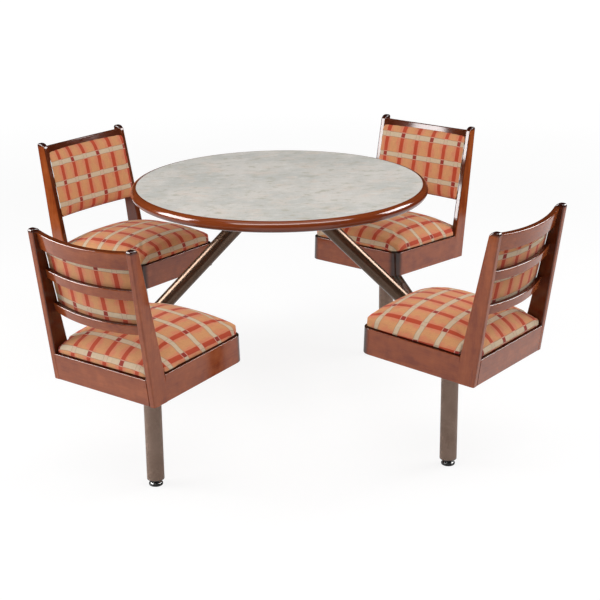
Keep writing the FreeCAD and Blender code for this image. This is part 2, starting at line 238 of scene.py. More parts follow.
def finish(tree, shader, colour, mark, rough, depth, strength):
    """Feeds a shader its colour, and a roughness and a relief that follow one mark."""
    feed(tree, colour, shader.inputs["Base Color"])
    feed(tree, ramp(tree, mark, NOISE_LOW, NOISE_HIGH, *rough), shader.inputs["Roughness"])
    feed(tree, bump(tree, mark, depth, strength), shader.inputs["Normal"])


# --- Wood --------------------------------------------------------------------------
WOOD_DARK = srgb(128, 54, 24)
WOOD_MID = srgb(150, 72, 32)
WOOD_LIGHT = srgb(168, 86, 42)
WOOD_PORE = srgb(96, 38, 20)
# Colour of the painted shade and dark reflection on the wood.
WOOD_PAINTED_SHADE = srgb(44, 12, 8)
# Colour of the painted shade round the boxes' bent corners.
WOOD_SHADE = srgb(30, 20, 18)
FIBRE_SCALE = 420.0
FIGURE_SCALE = 16.0
CLOUD_SCALE = 34.0
PORE_SCALE = 1100.0
# Shares of fibres, figure and clouds in the tone.
TONE_SHARES = (0.22, 0.48, 0.30)
DARK_TO_MID = (0.38, 0.52)
MID_TO_LIGHT = (0.50, 0.64)
PORE_RANGE = (0.62, 0.72)
PORE_DEPTH = 0.25
# The figure is drawn out along the grain less than the fibres are.
FIGURE_EVENNESS = 0.15
FIBRE_RELIEF = 0.4
PORE_RELIEF = 0.3
LACQUER = {"Specular_IOR_Level": 0.5}
LACQUER_ROUGH = (0.07, 0.12)
LACQUER_DEPTH = 0.00005
LACQUER_STRENGTH = 0.4
# What the fronts of the crest rails add to the roughness.
FRONT_DULLNESS = 0.06
# How deep the painted shade and dark reflection are on each kind of face.
DEEP_PAINTED_SHADE = 0.88
CREST_TOP_PAINTED_SHADE = 0.60
CREST_FRONT_PAINTED_SHADE = 0.78
INNER_PAINTED_SHADE = 0.75
STILE_FRONT_PAINTED_SHADE = 0.70
RIM_PAINTED_SHADE = 0.45
# How much of the pores' colour lies over the whole edge of the table.
RIM_PORES = 0.35
# How squarely a face must look a way before its painted shade starts, and before it is full.
EDGE_FACING = (0.40, 0.80)
CREST_FACING = (0.55, 0.85)
DULL_FACING = (0.80, 0.92)
STILE_FACING = (0.6, 0.9)
RIM_FACING = (0.0, 0.7)
# Heights over which the stiles' rounded tops are painted dark, as painted shade and dark reflection.
CAP_HEIGHTS = (0.438, 0.447)
# Distances past the start of a box corner's bend over which it is painted dark, as painted shade and
# dark reflection.
CORNER_SHADE = (-0.004, 0.016)
# The stiles' inner faces look to the sitter's right (1) or left (-1).
INWARD = {"stile_left": 1, "stile_right": -1}
# The figure of the table's edge is drawn out round it.
ROUND_STRETCH = 0.06


def wood_colour(tree, place, along):
    """Red-brown hardwood whose grain runs along the axes that `along` stretches, and its relief."""
    figure_along = [FIGURE_EVENNESS + (1 - FIGURE_EVENNESS) * axis for axis in along]
    fibres = noise(tree, stretch(tree, place, *along), FIBRE_SCALE, detail=5.0, roughness=0.6)
    figure = noise(tree, stretch(tree, place, *figure_along), FIGURE_SCALE, detail=4.0, roughness=0.6)
    cloudy = noise(tree, place, CLOUD_SCALE, detail=4.0, roughness=0.6)
    parts = [times(tree, layer, share) for layer, share in zip((fibres, figure, cloudy), TONE_SHARES)]
    tone = plus(tree, plus(tree, parts[0], parts[1]), parts[2])
    colour = blend_colour(tree, ramp(tree, tone, *DARK_TO_MID), WOOD_DARK, WOOD_MID)
    colour = blend_colour(tree, ramp(tree, tone, *MID_TO_LIGHT), colour, WOOD_LIGHT)
    pores = noise(tree, stretch(tree, place, *along), PORE_SCALE, detail=2.0)
    pore = ramp(tree, pores, *PORE_RANGE)
    colour = blend_colour(tree, times(tree, pore, PORE_DEPTH), colour, WOOD_PORE)
    relief = minus(tree, times(tree, fibres, FIBRE_RELIEF), times(tree, pore, PORE_RELIEF))
    return colour, relief, cloudy


def lacquer(tree, shader, colour, relief, cloudy, dull=0.0):
    """Glossy lacquer over the wood's colour, which carries its painted shade. `dull` adds to its
    roughness.
    """
    feed(tree, colour, shader.inputs["Base Color"])
    rough = plus(tree, ramp(tree, cloudy, NOISE_LOW, NOISE_HIGH, *LACQUER_ROUGH), dull)
    feed(tree, rough, shader.inputs["Roughness"])
    feed(tree, bump(tree, relief, LACQUER_DEPTH, LACQUER_STRENGTH), shader.inputs["Normal"])


def facing(tree, way):
    """How far the surface faces a way of the model: 1 when it faces it squarely."""
    values = {0: add(tree, "TexCoord").outputs["Normal"], 1: way}
    return add(tree, "VectorMath", values, operation="DOT_PRODUCT").outputs["Value"]


def painted_shade(tree, colour, value, limits, depth, tint=WOOD_PAINTED_SHADE):
    """Painted shade where a value goes from the first limit to the second."""
    return blend_colour(tree, ramp(tree, value, *limits, 0.0, depth), colour, tint)


def stile_painted_shade(tree, colour, part, right, front, height):
    """Painted shade and dark reflection on a stile's inner face, front and rounded top."""
    inward = facing(tree, [INWARD[part] * value for value in right])
    colour = painted_shade(tree, colour, inward, STILE_FACING, INNER_PAINTED_SHADE)
    colour = painted_shade(tree, colour, front, STILE_FACING, STILE_FRONT_PAINTED_SHADE)
    return painted_shade(tree, colour, height, CAP_HEIGHTS, DEEP_PAINTED_SHADE)


def corner_shade(tree, colour, x, y):
    """Painted shade and dark reflection round the bent front corners of a seat box."""
    beyond_x = minus(tree, calc(tree, "ABSOLUTE", x), BOX_HALF_FRONT - BOX_CORNER)
    beyond_y = minus(tree, y, BOX_FRONT - BOX_CORNER)
    corner = calc(tree, "MINIMUM", beyond_x, beyond_y)
    return painted_shade(tree, colour, corner, CORNER_SHADE, DEEP_PAINTED_SHADE, WOOD_SHADE)


def seat_wood(seat, part, along):
    """Wood of one part of a seat. Its grain runs along the axes that `along` stretches."""
    made, tree, shader = material(f"wood_{seat}_{part}", **LACQUER)
    place = seat_place(tree, seat)
    colour, relief, cloudy = wood_colour(tree, place, along)
    turn = math.radians(HEADINGS[seat])
    right = (math.cos(turn), math.sin(turn), 0.0)
    forward = (-math.sin(turn), math.cos(turn), 0.0)
    # The upper faces are painted darker: painted shade and dark reflection.
    edge = CREST_TOP_PAINTED_SHADE if part == "crest" else DEEP_PAINTED_SHADE
    colour = painted_shade(tree, colour, facing(tree, UP), EDGE_FACING, edge)
    x, y, z = add(tree, "SeparateXYZ", {"Vector": place}).outputs
    front = facing(tree, forward)
    dull = 0.0
    if part == "crest":
        # The crest's front face is painted darker: painted shade and dark reflection.
        colour = painted_shade(tree, colour, front, CREST_FACING, CREST_FRONT_PAINTED_SHADE)
        dull = ramp(tree, front, *DULL_FACING, 0.0, FRONT_DULLNESS)
    if part in INWARD:
        # The stiles' inner faces, fronts and tops are painted darker: painted shade and dark
        # reflection.
        colour = stile_painted_shade(tree, colour, part, right, front, z)
    if part == "bent_apron":
        # The bent front corners are painted darker: painted dark reflection and shade.
        colour = corner_shade(tree, colour, x, y)
    lacquer(tree, shader, colour, relief, cloudy, dull)
    return made


def edge_wood():
    """Wood of the table's edge, with the grain running round it."""
    made, tree, shader = material("wood_edge", **LACQUER)
    x, y, z = add(tree, "SeparateXYZ", {"Vector": object_place(tree)}).outputs
    squares = plus(tree, times(tree, x, x), times(tree, y, y))
    flat = {"X": times(tree, x, ROUND_STRETCH), "Y": times(tree, y, ROUND_STRETCH)}
    ring = add(tree, "CombineXYZ", flat)
    section = add(tree, "CombineXYZ", {"X": calc(tree, "SQRT", squares), "Z": z})
    both = add(tree, "VectorMath", {0: ring.outputs[0], 1: section.outputs[0]}, operation="ADD")
    colour, relief, cloudy = wood_colour(tree, both.outputs["Vector"], (1.0, 1.0, 1.0))
    colour = blend_colour(tree, RIM_PORES, colour, WOOD_PORE)
    # The lower half of the table's edge is painted darker: painted shade.
    colour = painted_shade(tree, colour, facing(tree, DOWN), RIM_FACING, RIM_PAINTED_SHADE)
    lacquer(tree, shader, colour, relief, cloudy)
    return made


# --- Laminate, metal, plastic and board ----------------------------------------------
# Each noise of the laminate: stretch, scale, detail and roughness.
LAMINATE_NOISES = {
    "broad": ((1.0, 1.0, 1.0), 7.0, 5.0, 0.60),
    "warm": ((0.8, 1.1, 1.0), 16.0, 8.0, 0.70),
    "middle": ((0.8, 1.2, 1.0), 30.0, 9.0, 0.72),
    "veins": ((0.7, 1.2, 1.0), 60.0, 7.0, 0.75),
    "fine": ((1.0, 1.0, 1.0), 260.0, 4.0, 0.70),
}
LAMINATE_RANGE = (0.36, 0.64)
LAMINATE_DARK = srgb(208, 207, 201)
LAMINATE_LIGHT = srgb(228, 223, 216)
# Clouds over it: the noise, where a cloud starts and is full, its share and its colour.
LAMINATE_CLOUDS = [
    ("warm", 0.50, 0.64, 0.60, srgb(230, 217, 205)),
    ("middle", 0.52, 0.66, 0.80, srgb(188, 184, 166)),
    ("middle", 0.46, 0.34, 0.70, srgb(238, 235, 230)),
    ("veins", 0.58, 0.72, 0.50, srgb(196, 182, 160)),
    ("veins", 0.44, 0.30, 0.35, srgb(200, 198, 192)),
    ("fine", 0.45, 0.75, 0.35, srgb(182, 177, 166)),
]


def laminate():
    """Light grey stone-like laminate, clouded with green, pink and yellow."""
    made, tree, shader = material("laminate", Specular_IOR_Level=0.4)
    place = object_place(tree)
    layers = {
        name: noise(tree, stretch(tree, place, *axes), scale, detail, roughness)
        for name, (axes, scale, detail, roughness) in LAMINATE_NOISES.items()
    }
    broad = ramp(tree, layers["broad"], *LAMINATE_RANGE)
    colour = blend_colour(tree, broad, LAMINATE_DARK, LAMINATE_LIGHT)
    for name, start, full, share, tint in LAMINATE_CLOUDS:
        colour = blend_colour(tree, ramp(tree, layers[name], start, full, 0.0, share), colour, tint)
    finish(tree, shader, colour, layers["fine"], rough=(0.40, 0.50), depth=0.00006, strength=0.4)
    return made


# Darker and lighter tone of each coating and each plastic, and its roughness.
COATINGS = {
    "bronze_posts": (srgb(104, 83, 73), srgb(162, 138, 122), 0.46),
    # The arms' copy of the coating is smoother and darker; its darker tone is painted shade and dark
    # reflection under the table top.
    "bronze_arms": (srgb(72, 54, 42), srgb(104, 82, 64), 0.24),
}
PLASTICS = {
    "glide_pad": (srgb(24, 24, 25), srgb(38, 38, 39), 0.50),
    "nylon": (srgb(30, 30, 32), srgb(46, 46, 48), 0.45),
}
COATING_CLOUDS = srgb(104, 80, 64)
COATING_SPREAD = 0.05
PLASTIC_SPREAD = 0.06
ZINC_DARK = srgb(176, 178, 180)
ZINC_LIGHT = srgb(208, 208, 204)
BOARD_DARK = srgb(140, 104, 68)
BOARD_LIGHT = srgb(196, 160, 116)
BOARD_CLOUDS = srgb(170, 128, 88)
SPECKLE_RANGE = (0.38, 0.62)
CHIP_RANGE = (0.36, 0.66)
CRYSTAL_RANGE = (0.1, 0.8)
# Where clouds start and are full, and their least and greatest share.
COATING_CLOUD_RANGE = (0.35, 0.70, 0.0, 0.3)
BOARD_CLOUD_RANGE = (0.40, 0.70, 0.0, 0.3)


def around(middle, spread):
    """Range of roughness about its middle."""
    return middle - spread, middle + spread


def bronze(name):
    """Bronze-brown metallic coating with a fine speckle."""
    dark, light, rough = COATINGS[name]
    made, tree, shader = material(name, Metallic=0.6, Specular_IOR_Level=0.5)
    place = object_place(tree)
    speckle = noise(tree, place, scale=900.0, detail=2.0, roughness=0.6)
    cloudy = noise(tree, place, scale=20.0)
    colour = blend_colour(tree, ramp(tree, speckle, *SPECKLE_RANGE), dark, light)
    colour = blend_colour(tree, ramp(tree, cloudy, *COATING_CLOUD_RANGE), colour, COATING_CLOUDS)
    rough = around(rough, COATING_SPREAD)
    finish(tree, shader, colour, speckle, rough, depth=0.00010, strength=0.4)
    return made


def zinc():
    """Zinc-plated steel with faint crystals."""
    made, tree, shader = material("zinc_plate", Metallic=1.0)
    place = object_place(tree)
    crystals = add(tree, "TexVoronoi", {"Vector": place, "Scale": 160.0}).outputs["Distance"]
    colour = blend_colour(tree, ramp(tree, crystals, *CRYSTAL_RANGE), ZINC_DARK, ZINC_LIGHT)
    scratched = noise(tree, stretch(tree, place, 1.0, 12.0, 1.0), scale=120.0)
    finish(tree, shader, colour, scratched, rough=(0.26, 0.42), depth=0.00005, strength=0.4)
    return made


def plastic(name):
    """Moulded plastic with a fine grain."""
    dark, light, rough = PLASTICS[name]
    made, tree, shader = material(name, Specular_IOR_Level=0.5)
    place = object_place(tree)
    grain = noise(tree, place, scale=700.0, detail=2.0)
    cloudy = noise(tree, place, scale=60.0)
    colour = blend_colour(tree, ramp(tree, cloudy, NOISE_LOW, NOISE_HIGH), dark, light)
    rough = around(rough, PLASTIC_SPREAD)
    finish(tree, shader, colour, grain, rough, depth=0.00008, strength=0.6)
    return made


def board():
    """Raw particle board of the hidden panels."""
    made, tree, shader = material("board", Specular_IOR_Level=0.3)
    place = object_place(tree)
    chips = noise(tree, stretch(tree, place, 1.0, 1.0, 2.2), scale=240.0, detail=4.0, roughness=0.7)
    cloudy = noise(tree, place, scale=14.0)
    colour = blend_colour(tree, ramp(tree, chips, *CHIP_RANGE), BOARD_DARK, BOARD_LIGHT)
    colour = blend_colour(tree, ramp(tree, cloudy, *BOARD_CLOUD_RANGE), colour, BOARD_CLOUDS)
    finish(tree, shader, colour, chips, rough=(0.62, 0.8), depth=0.0003, strength=0.5)
    return made


# --- Fabric --------------------------------------------------------------------------
GROUND_TAN = srgb(216, 152, 102)
GROUND_SALMON = srgb(218, 134, 98)
STRIPE_RED = srgb(190, 68, 36)
CROSSING_RED = srgb(152, 46, 34)
BAND_BEIGE = srgb(213, 190, 160)
BAND_OUTLINE = srgb(140, 98, 74)
PALE_LINE = srgb(232, 190, 168)
# How unevenly the stripes and bands lie.
UNEVEN_SCALE = 35.0
WANDER = 0.003
# Half the width over which one colour turns into the next.
THREAD_BLUR = 0.0007
# Distances from the edge at which a thin line starts and is full.
OUTLINE_REACH = (0.0014, 0.0004)
SEAM_REACH = (0.0013, 0.0004)
OUTLINE_SHARE = 0.50
SEAM_SHARE = 0.45
PALE_SHARE = 0.8
UNDER_SHARE = 0.93
# The ground turns salmon within these distances of a red stripe's middle.
MARGIN_REACH = (0.024, 0.008)
MARGIN_WANDER = 0.05
SLUB_STRETCH = (60.0, 900.0, 0.0)
STREAK_STRETCH = (700.0, 40.0, 0.0)
DYE_SHADES = (0.86, 1.1)
WEAVE_SHADE = 0.05
# Shares of weave, bands and dye in the relief.
RELIEF_SHARES = (0.5, 0.8, 1.2)
RELIEF_DEPTH = 0.00025
RELIEF_STRENGTH = 0.6


def repeat_distance(tree, value, spacing):
    """Distance to the nearest stripe's middle, and that stripe's number."""
    steps = calc(tree, "DIVIDE", value, spacing)
    number = calc(tree, "ROUND", steps)
    offset = calc(tree, "ABSOLUTE", minus(tree, steps, number))
    return times(tree, offset, spacing), number


def edge_line(tree, distance, width, reach):
    """Thin line along both edges of a stripe."""
    from_edge = calc(tree, "ABSOLUTE", minus(tree, distance, width / 2))
    return ramp(tree, from_edge, *reach)


def stripe_mask(tree, distance, width):
    """1 inside a stripe, 0 outside."""
    return ramp(tree, distance, width / 2 + THREAD_BLUR, width / 2 - THREAD_BLUR)


def plaid_colour(tree, u, v, uneven):
    """Plaid as woven, and where its beige bands lie."""
    shift = minus(tree, uneven, NOISE_MIDDLE)
    wander = times(tree, shift, WANDER)
    across, column = repeat_distance(tree, plus(tree, u, wander), STRIPE_SPACING)
    along, row = repeat_distance(tree, minus(tree, v, wander), BAND_SPACING)
    stripe = stripe_mask(tree, across, STRIPE_WIDTH)
    band = stripe_mask(tree, along, BAND_WIDTH)
    outline = edge_line(tree, along, BAND_WIDTH, OUTLINE_REACH)
    # Red lies on top where the numbers of stripe and band make an even sum.
    odd = times(tree, calc(tree, "FRACT", times(tree, plus(tree, column, row), 0.5)), 2.0)
    red_over = ramp(tree, odd, 0.6, 0.4)
    under = times(tree, band, minus(tree, 1.0, red_over))
    seam = times(tree, edge_line(tree, across, STRIPE_WIDTH, SEAM_REACH), under)
    margin = ramp(tree, plus(tree, across, times(tree, shift, MARGIN_WANDER)), *MARGIN_REACH)
    layers = [
        (band, BAND_BEIGE),
        (times(tree, outline, OUTLINE_SHARE), BAND_OUTLINE),
        (times(tree, stripe, minus(tree, 1.0, times(tree, under, UNDER_SHARE))), STRIPE_RED),
        (times(tree, seam, SEAM_SHARE), BAND_OUTLINE),
        (times(tree, times(tree, stripe, band), red_over), CROSSING_RED),
        (times(tree, times(tree, stripe, outline), PALE_SHARE), PALE_LINE),
    ]
    colour = blend_colour(tree, margin, GROUND_TAN, GROUND_SALMON)
    for share, tint in layers:
        colour = blend_colour(tree, share, colour, tint)
    return colour, band


def threads(tree, place, u, v):
    """Weave of the threads and their uneven dye."""
    turns = 2 * math.pi / THREAD
    weft = calc(tree, "SINE", times(tree, v, turns))
    warp = calc(tree, "SINE", times(tree, u, turns))
    slub = noise(tree, stretch(tree, place, *SLUB_STRETCH), scale=1.0, roughness=0.6)
    streak = noise(tree, stretch(tree, place, *STREAK_STRETCH), scale=1.0, roughness=0.6)
    dye = plus(tree, times(tree, slub, 0.5), times(tree, streak, 0.5))
    return times(tree, weft, warp), dye


def fabric():
    """Woven plaid. Red stripes and beige bands go over and under each other by turns."""
    made, tree, shader = material(
        "plaid_fabric", Roughness=0.85, Specular_IOR_Level=0.2, Sheen_Weight=0.12, Sheen_Roughness=0.5)
    cloth = add(tree, "Attribute", attribute_name="cloth", attribute_type="GEOMETRY")
    place = cloth.outputs["Vector"]
    u, v, _ = add(tree, "SeparateXYZ", {"Vector": place}).outputs
    uneven = noise(tree, stretch(tree, place, 1.0, 1.0, 0.0), UNEVEN_SCALE)
    colour, band = plaid_colour(tree, u, v, uneven)
    weave, dye = threads(tree, place, u, v)
    shade = ramp(tree, dye, NOISE_LOW, NOISE_HIGH, *DYE_SHADES)
    shade = plus(tree, shade, times(tree, weave, WEAVE_SHADE))
    grey = add(tree, "CombineColor", {"Red": shade, "Green": shade, "Blue": shade}).outputs["Color"]
    feed(tree, blend_colour(tree, 1.0, colour, grey, "MULTIPLY"), shader.inputs["Base Color"])
    parts = [times(tree, layer, share) for layer, share in zip((weave, band, dye), RELIEF_SHARES)]
    raised = plus(tree, plus(tree, parts[0], parts[1]), parts[2])
    feed(tree, bump(tree, raised, RELIEF_DEPTH, RELIEF_STRENGTH), shader.inputs["Normal"])
    return made


# --- Objects -------------------------------------------------------------------------


def give(node, made):
    """Puts one material on a CAD node."""
    CAD[node].data.materials.clear()
    CAD[node].data.materials.append(made)


def object_with(name, data):
    """New object in the scene with a mesh, a lamp or a camera."""
    made = bpy.data.objects.new(name, data)
    SCENE.collection.objects.link(made)
    return made


def object_of(name, form, look):
    """New object from a bmesh, with one material."""
    mesh = bpy.data.meshes.new(name)
    form.to_mesh(mesh)
    form.free()
    mesh.materials.append(look)
    return object_with(name, mesh)


# --- Upholstery ------------------------------------------------------------------
# Size of a form's even quads, and how it's smoothed.
VOXEL = 0.006
SMOOTHING = 0.5
REMESH_ROUNDS = 3
PAD_ROUNDS = 2
SIM_FRAMES = 20
CLOTH = {
    "quality": 5,
    "mass": 0.2,
    "tension_stiffness": 15,
    "compression_stiffness": 15,
    "shear_stiffness": 5,
    "bending_stiffness": 0.5,
    "use_pressure": True,
    "uniform_pressure_force": 4.0,
    "vertex_group_mass": "held",
}
# How far a form is drawn in before it swells, and how far a point may then move.
CUSHION_SHRINK = 0.0025
CUSHION_SWELL = 0.0035
PAD_SHRINK = 0.002
PAD_SWELL = 0.004
# The cushion's lowest part is held, and tucked in a little over the box.
HELD_HEIGHT = 0.004
TUCK = 0.0015
TUCK_HEIGHT = 0.009
TUCK_FROM = 0.12
# Room that the cushion keeps to the stiles and the box, and how far it stands out.
STILE_FRONT_ROOM = 0.0022
STILE_SIDE_ROOM = 0.0008
BOX_ROOM = 0.0002
CUSHION_PROUD = 0.0025
CUSHION_REAR_PROUD = 0.010
# Lengths as small as these count as nothing, and keep a division away from 0.
NO_REACH = 1e-5
TINY = 1e-6
NO_LENGTH = 1e-9
# The pad's edges roll off by a rounded curve that ends just short of nothing.
ROLL_END = 0.985
ROLL_POWER = 2.2
# Thinner than this the pad's rear is held, and nearer the rear than this it isn't its front.
PAD_HELD_DEPTH = 0.003
PAD_FRONT_DEPTH = 0.005
PAD_ROOM = 0.0003
# Where across its width the pad is drawn out to the stiles.
REACH_FROM = 0.12
REACH_FULL = 0.16
# Where it bulges over them: distances in from their inner faces, and out from their fronts.
BULGE_SIDES = (0.006, 0.001)
BULGE_FRONTS = (0.0004, 0.0014)


def cad_copy(name, node, to_local):
    """New object with a CAD node's mesh, moved to the seat's own frame."""
    mesh = CAD[node].data.copy()
    mesh.transform(to_local)
    mesh.materials.clear()
    return object_with(name, mesh)


def apply_modifiers(piece):
    """Replaces a piece's mesh by its result and removes its modifiers."""
    graph = bpy.context.evaluated_depsgraph_get()
    mesh = bpy.data.meshes.new_from_object(piece.evaluated_get(graph))
    piece.modifiers.clear()
    old = piece.data
    piece.data = mesh
    bpy.data.meshes.remove(old)


def smooth(piece, rounds):
    """Evens out a piece and applies its modifiers."""
    modifier = piece.modifiers.new("smooth", "SMOOTH")
    modifier.factor = SMOOTHING
    modifier.iterations = rounds
    apply_modifiers(piece)


def remesh(piece):
    """Even quads all over a piece."""
    modifier = piece.modifiers.new("even", "REMESH")
    modifier.mode = "VOXEL"
    modifier.voxel_size = VOXEL
    smooth(piece, REMESH_ROUNDS)


def points_of(mesh):
    """Vertex places as rows of an array."""
    flat = np.empty(len(mesh.vertices) * 3)
    mesh.vertices.foreach_get("co", flat)
    return flat.reshape(-1, 3)


def set_points(mesh, points):
    """Moves a mesh's vertices."""
    mesh.vertices.foreach_set("co", points.ravel())
    mesh.update()


def normals_of(mesh):
    """Vertex directions as rows of an array."""
    flat = np.empty(len(mesh.vertices) * 3)
    mesh.vertices.foreach_get("normal", flat)
    return flat.reshape(-1, 3)


def inflate(piece, held, shrink, cap):
    """Swells a piece by a cloth simulation under pressure. Held vertices stay."""
    mesh = piece.data
    start = points_of(mesh)
    set_points(mesh, start - normals_of(mesh) * shrink * (1 - held[:, None]))
    group = piece.vertex_groups.new(name="held")
    for index in np.nonzero(held > 0.5)[0]:
        group.add([int(index)], 1.0, "REPLACE")
    cloth = piece.modifiers.new("cloth", "CLOTH")
    settings = cloth.settings
    for name, value in CLOTH.items():
        setattr(settings, name, value)
    settings.effector_weights.gravity = 0
    cloth.point_cache.frame_start = 1
    cloth.point_cache.frame_end = SIM_FRAMES
    for number in range(1, SIM_FRAMES + 1):
        SCENE.frame_set(number)
    graph = bpy.context.evaluated_depsgraph_get()
    swollen = points_of(piece.evaluated_get(graph).to_mesh())
    piece.evaluated_get(graph).to_mesh_clear()
    piece.modifiers.clear()
    piece.vertex_groups.clear()
    SCENE.frame_set(1)
    moved = swollen - start
    length = np.linalg.norm(moved, axis=1, keepdims=True)
    share = np.minimum(1.0, cap / np.maximum(length, NO_LENGTH))
    set_points(mesh, start + moved * share)


def smoothstep(value, low, high):
    """0 below low, 1 above high and smooth between."""
    share = np.clip((value - low) / (high - low), 0.0, 1.0)
    return share * share * (3 - 2 * share)


def box_half(y):
    """Half width of the tapered seat box at a depth."""
    share = (y - STILE_FRONT) / (BOX_FRONT - STILE_FRONT)
    return BOX_HALF_REAR + share * (BOX_HALF_FRONT - BOX_HALF_REAR)


def cushion_form():
    """One cushion in the seat's own frame."""
    to_local = seat_matrix("front_left").inverted()
    piece = cad_copy("cushion_form", "front_left_seat_cushion", to_local)
    remesh(piece)
    start = points_of(piece.data)
    held = (start[:, 2] < BOX_HEIGHT + HELD_HEIGHT).astype(float)
    inflate(piece, held, CUSHION_SHRINK, CUSHION_SWELL)
    points = points_of(piece.data)
    x, y, z = points.T
    # The cover is tucked in where it meets the box.
    tuck = TUCK * smoothstep(z, BOX_HEIGHT + TUCK_HEIGHT, BOX_HEIGHT)
    x -= np.sign(x) * tuck * (np.abs(x) > TUCK_FROM)
    y -= np.sign(y) * tuck * (np.abs(y) > TUCK_FROM)
    # It stays clear of the stiles and above the box.
    clear_y = STILE_FRONT + STILE_FRONT_ROOM
    clear_x = STILE_INNER - STILE_SIDE_ROOM
    beside = y < clear_y
    widest = np.where(beside, clear_x, box_half(y) + CUSHION_PROUD)
    x = np.clip(x, -widest, widest)
    y = np.where((np.abs(x) > clear_x) & beside, clear_y, y)
    y = np.clip(y, BOX_REAR - CUSHION_REAR_PROUD, BOX_FRONT + CUSHION_PROUD)
    z = np.clip(z, BOX_HEIGHT + BOX_ROOM, None)
    set_points(piece.data, np.stack([x, y, z], 1))
    return piece


def cushion_cloth(points, seat):
    """Place on the flat fabric of each point of a cushion."""
    x, y, z = points.T
    middle = box_half(y) - SHOULDER_REACH
    middle_x = np.clip(x, -middle, middle)
    middle_y = np.clip(y, BOX_REAR + SHOULDER_REACH, BOX_FRONT - SHOULDER_REACH)
    out = np.stack([x - middle_x, y - middle_y], 1)
    reach = np.linalg.norm(out, axis=1)
    way = out / np.maximum(reach, TINY)[:, None]
    height = np.maximum(z, SHOULDER_FOOT) - SHOULDER_AXIS_HEIGHT
    start = math.atan2(SHOULDER_AXIS_IN, SHOULDER_RADIUS)
    turn = np.arctan2(reach + SHOULDER_AXIS_IN, height) - start
    travel = SHOULDER_RADIUS * np.maximum(turn, 0.0) + np.maximum(SHOULDER_FOOT - z, 0.0)
    spare = np.where(reach > NO_REACH, travel - reach, 0.0)
    sideways = way * np.abs(way) * spare[:, None]
    pull = SIDE_PULL[seat] * np.maximum(PULL_HEIGHT - z, 0.0) * way[:, 0] ** 2
    return x + sideways[:, 0], y + sideways[:, 1] - pull


def back_axes(points):
    """Distance behind the plane of the stiles' front edges, and height up along them."""
    y = STILE_FRONT - points[:, 1]
    z = points[:, 2] - BOX_HEIGHT
    behind = y * math.cos(BACK_LEAN) - z * math.sin(BACK_LEAN)
    height = y * math.sin(BACK_LEAN) + z * math.cos(BACK_LEAN)
    return behind, height


def from_back_axes(x, behind, height):
    """Points of the seat's own frame from the back's axes."""
    y = STILE_FRONT - behind * math.cos(BACK_LEAN) - height * math.sin(BACK_LEAN)
    z = BOX_HEIGHT - behind * math.sin(BACK_LEAN) + height * math.cos(BACK_LEAN)
    return np.stack([x, y, z], 1)


def pad_rear(x):
    """Depth of the pad's rear face, which lies on the crest."""
    return CREST_FRONT + BACK_BOW * (1 - (x / STILE_INNER) ** 2)


def roll_off(distance, roll):
    """Share of the pad's thickness that is left at a distance from one of its edges."""
    beyond = np.clip((roll - distance) / roll, 0.0, ROLL_END)
    return (1 - beyond ** ROLL_POWER) ** 0.5


def pad_start(piece):
    """Rolls off the edges of a pad before it swells."""
    points = points_of(piece.data)
    behind, height = back_axes(points)
    x = points[:, 0]
    rear = pad_rear(x)
    foot = roll_off(height - PAD_BOTTOM, PAD_FOOT_ROLL)
    side = roll_off(STILE_INNER - np.abs(x), PAD_SIDE_ROLL)
    thickness = (rear - behind) * roll_off(PAD_TOP - height, PAD_TOP_ROLL)
    thickness *= foot * side
    set_points(piece.data, from_back_axes(x, rear - thickness, height))
    smooth(piece, PAD_ROUNDS)


def pad_fit(piece):
    """Fits a swollen pad between the stiles and onto the crest and the slats."""
    points = points_of(piece.data)
    limit = STILE_INNER - PAD_ROOM
    points[:, 0] *= 1 + PAD_SIDE_REACH * smoothstep(np.abs(points[:, 0]), REACH_FROM, REACH_FULL)
    points[:, 0] = np.clip(points[:, 0], -limit, limit)
    behind, height = back_axes(points)
    # The cover bulges a little over the stiles' rounded front edges.
    sides = [STILE_INNER - distance for distance in BULGE_SIDES]
    bulge = PAD_BULGE * smoothstep(np.abs(points[:, 0]), *sides)
    points[:, 0] += np.sign(points[:, 0]) * bulge * smoothstep(-behind, *BULGE_FRONTS)
    behind = np.minimum(behind, pad_rear(points[:, 0]) - PAD_ROOM)
    set_points(piece.data, from_back_axes(points[:, 0], behind, height))


def pad_form():
    """One back pad in the seat's own frame."""
    to_local = seat_matrix("front_left").inverted()
    piece = cad_copy("pad_form", "front_left_back_pad", to_local)
    remesh(piece)
    pad_start(piece)
    points = points_of(piece.data)
    behind, _ = back_axes(points)
    held = (pad_rear(points[:, 0]) - behind < PAD_HELD_DEPTH).astype(float)
    inflate(piece, held, PAD_SHRINK, PAD_SWELL)
    pad_fit(piece)
    return piece


def pad_cloth(points, seat):
    """Place on the flat fabric of each point of a back pad."""
    behind, height = back_axes(points)
    x = points[:, 0]
    front = np.where(pad_rear(x) - behind > PAD_FRONT_DEPTH, 1.0, 0.0)
    rise = np.clip((height - (PAD_TOP - PAD_TOP_ROLL)) / PAD_TOP_ROLL, 0.0, 1.0)
    roll = 0.5 * (PAD_TOP_ROLL + PAD_ROLL_DEPTH) * np.arcsin(rise) - PAD_TOP_ROLL * rise
    # The plaid's height is counted from the box's underside.
    return x.copy(), BOX_HEIGHT + height + roll * front


